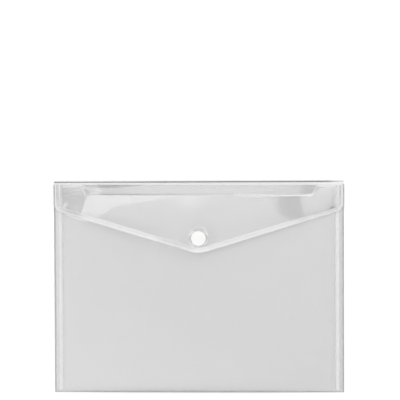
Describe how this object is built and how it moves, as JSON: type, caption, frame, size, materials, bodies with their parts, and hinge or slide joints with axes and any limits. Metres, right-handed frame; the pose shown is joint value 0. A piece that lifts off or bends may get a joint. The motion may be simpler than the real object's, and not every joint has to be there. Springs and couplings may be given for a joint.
{
  "type": "document wallet",
  "caption": "Clear plastic document wallet: flat folded pocket with welded sides, and a pointed flap on a crease that a round snap holds shut.",
  "frame": {"origin": "centre of the back panel's outer face, where the wallet lies on a table", "axes": "+X across the wallet to the right as seen from the front, +Y from the bottom fold up to the flap crease, +Z out of the front"},
  "size_m": [0.33, 0.24, 0.0118],
  "materials": {
    "clear_film": "clear cast polypropylene film, smooth and slightly hazy",
    "pressed_film": "clear polypropylene film, whitened a little where it is welded or pressed",
    "white_snap": "white moulded plastic, semi-gloss"
  },
  "bodies": {
    "pocket": {"back_panel": "clear_film", "front_panel": "clear_film", "bottom_fold": "clear_film", "left_side_weld": "pressed_film", "right_side_weld": "pressed_film", "flap_crease": "clear_film", "snap_stud": "white_snap", "snap_back_cap": "white_snap"},
    "flap": {"flap_panel": "clear_film", "flap_edge_band": "pressed_film", "snap_cap": "white_snap", "snap_socket": "white_snap"}
  },
  "joints": [
    {"name": "flap_hinge", "type": "hinge", "parent": "pocket", "child": "flap", "pos_m": [0, 0.1189, 0.0011], "axis": [-1, 0, 0], "range_deg": [0, 160], "deforming": ["flap_crease"]}
  ]
}
